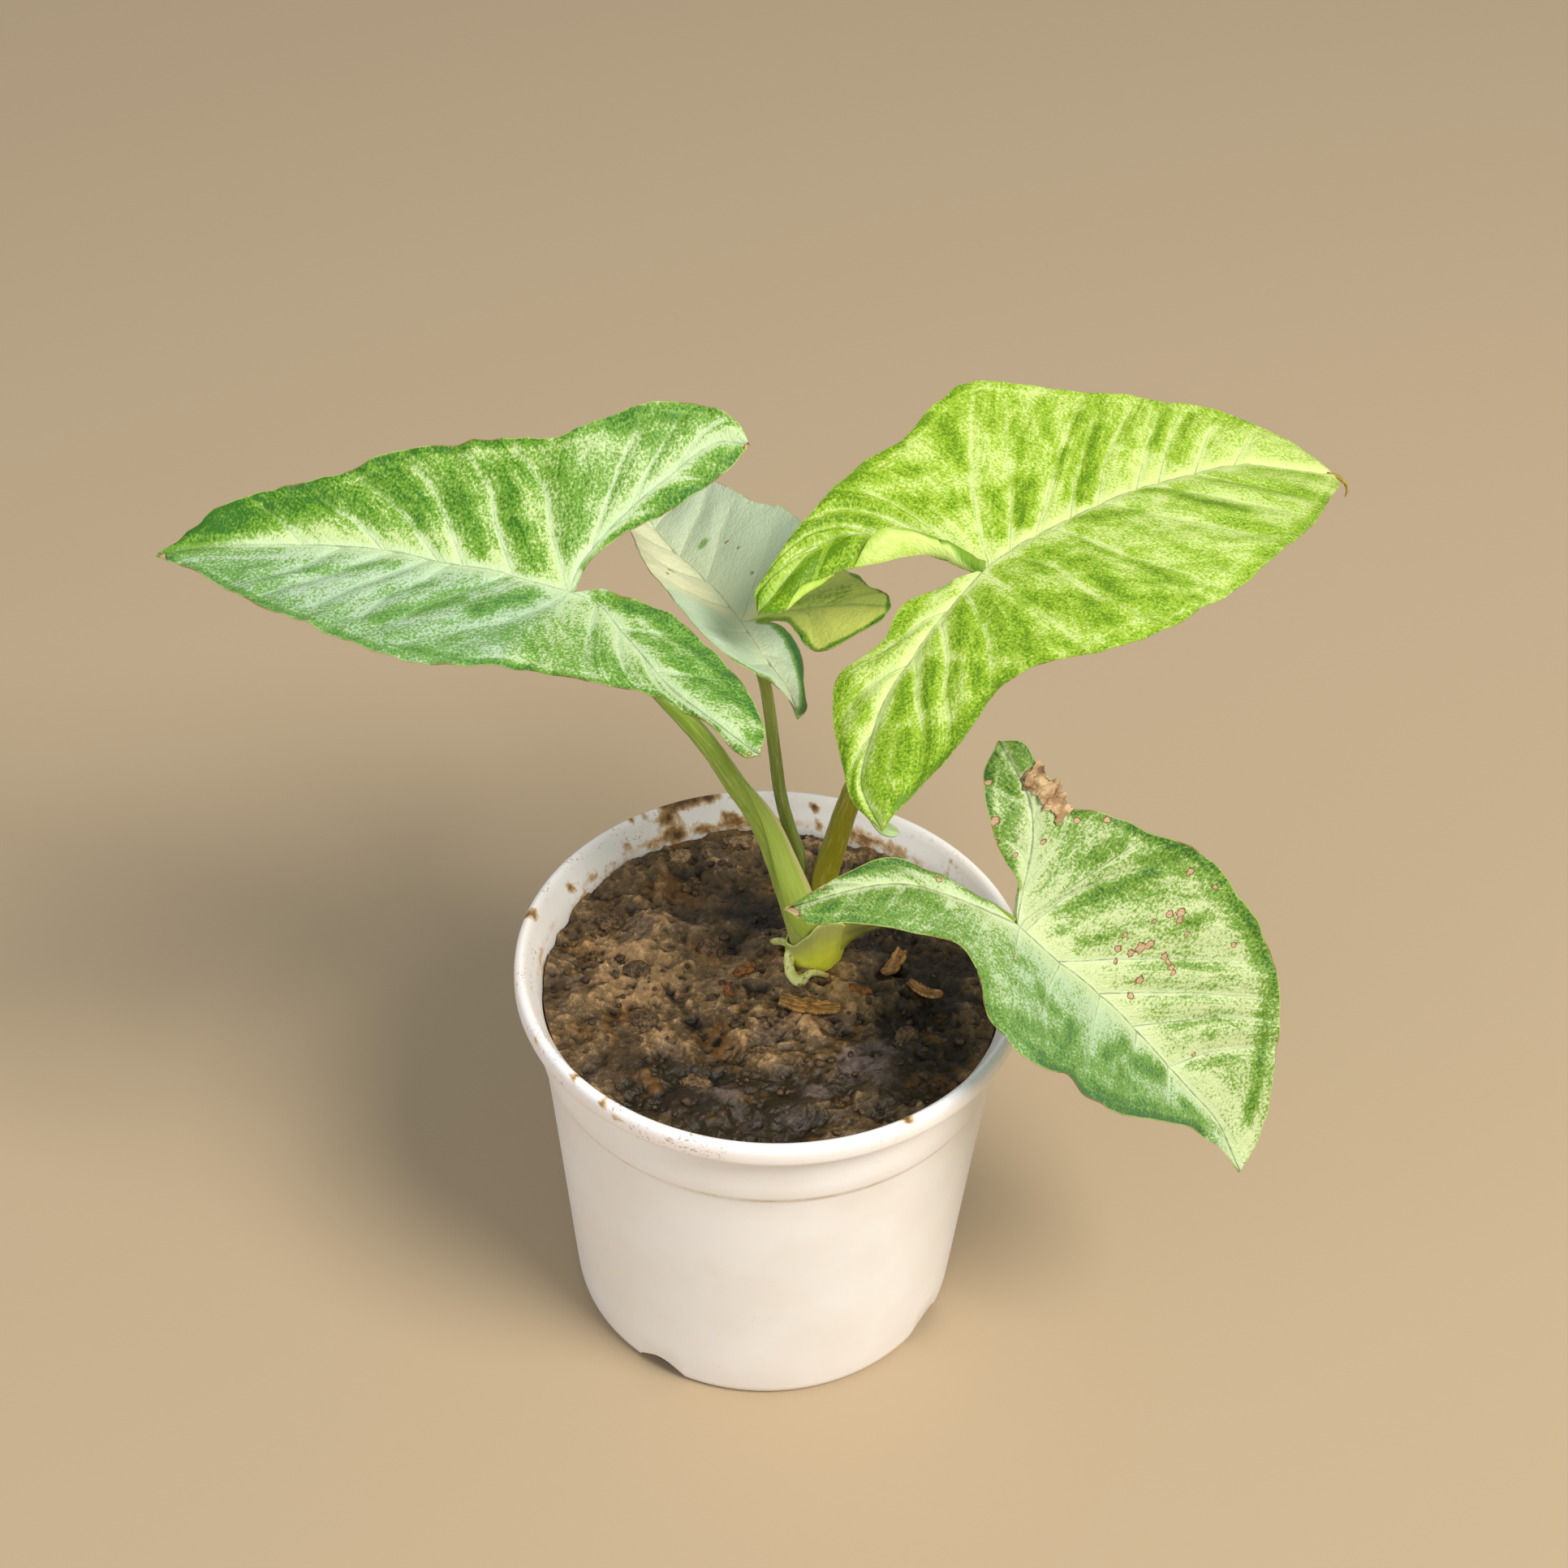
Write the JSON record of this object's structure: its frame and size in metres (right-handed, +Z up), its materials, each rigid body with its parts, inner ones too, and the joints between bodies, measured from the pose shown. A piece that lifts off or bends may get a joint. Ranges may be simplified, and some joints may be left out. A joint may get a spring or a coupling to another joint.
{
  "type": "potted plant",
  "caption": "Arrowhead plant with variegated arrow-shaped leaves on slender stalks from one crown, in a round cream nursery pot of wet soil.",
  "frame": {"origin": "middle of the bounding box's underside, on the plane the pot's foot stands on; the pot's axis runs up at x = +4.6 mm, y = -9.2 mm", "axes": "+Z up along the pot's axis; +X to the viewer's right, the way the right leaf points, and the longest extent; +Y away from the viewer, the shortest extent; the front leaf reaches out to +X and -Y"},
  "size_m": [0.2694, 0.149, 0.2446],
  "materials": {
    "pot_plastic": "satin",
    "soil_wet": "matte",
    "crown_green": "satin",
    "stalk_green": "satin",
    "stalk_olive": "satin",
    "leaf_white_green": "satin",
    "leaf_lime": "satin",
    "leaf_cream": "satin",
    "root_pale": "matte",
    "bark_brown": "matte",
    "chip_orange": "matte",
    "clod_brown": "matte",
    "crumb_pale": "matte"
  },
  "bodies": {
    "root": {"aerial_root": "root_pale", "bark_flake": "bark_brown", "crown_stem": "crown_green", "dry_crumb_1": "crumb_pale", "dry_crumb_2": "crumb_pale", "dry_crumb_3": "crumb_pale", "leaf_blade_back": "leaf_cream", "leaf_blade_front": "leaf_cream", "leaf_blade_left": "leaf_white_green", "leaf_blade_right": "leaf_lime", "leaf_scrap_1": "bark_brown", "leaf_scrap_2": "bark_brown", "petiole_back": "stalk_olive", "petiole_front": "crown_green", "petiole_left": "stalk_green", "petiole_right": "stalk_olive", "pot": "pot_plastic", "root_stub": "root_pale", "sheath_left": "stalk_green", "sheath_tip_right": "stalk_green", "soil": "soil_wet", "soil_clod_1": "clod_brown", "soil_clod_2": "clod_brown", "soil_clod_3": "clod_brown", "soil_clod_4": "clod_brown", "soil_clod_5": "clod_brown", "soil_clod_6": "clod_brown", "soil_clod_7": "clod_brown", "soil_clod_8": "clod_brown", "wood_chip_1": "chip_orange", "wood_chip_2": "chip_orange", "wood_chip_3": "chip_orange"}
  },
  "joints": []
}
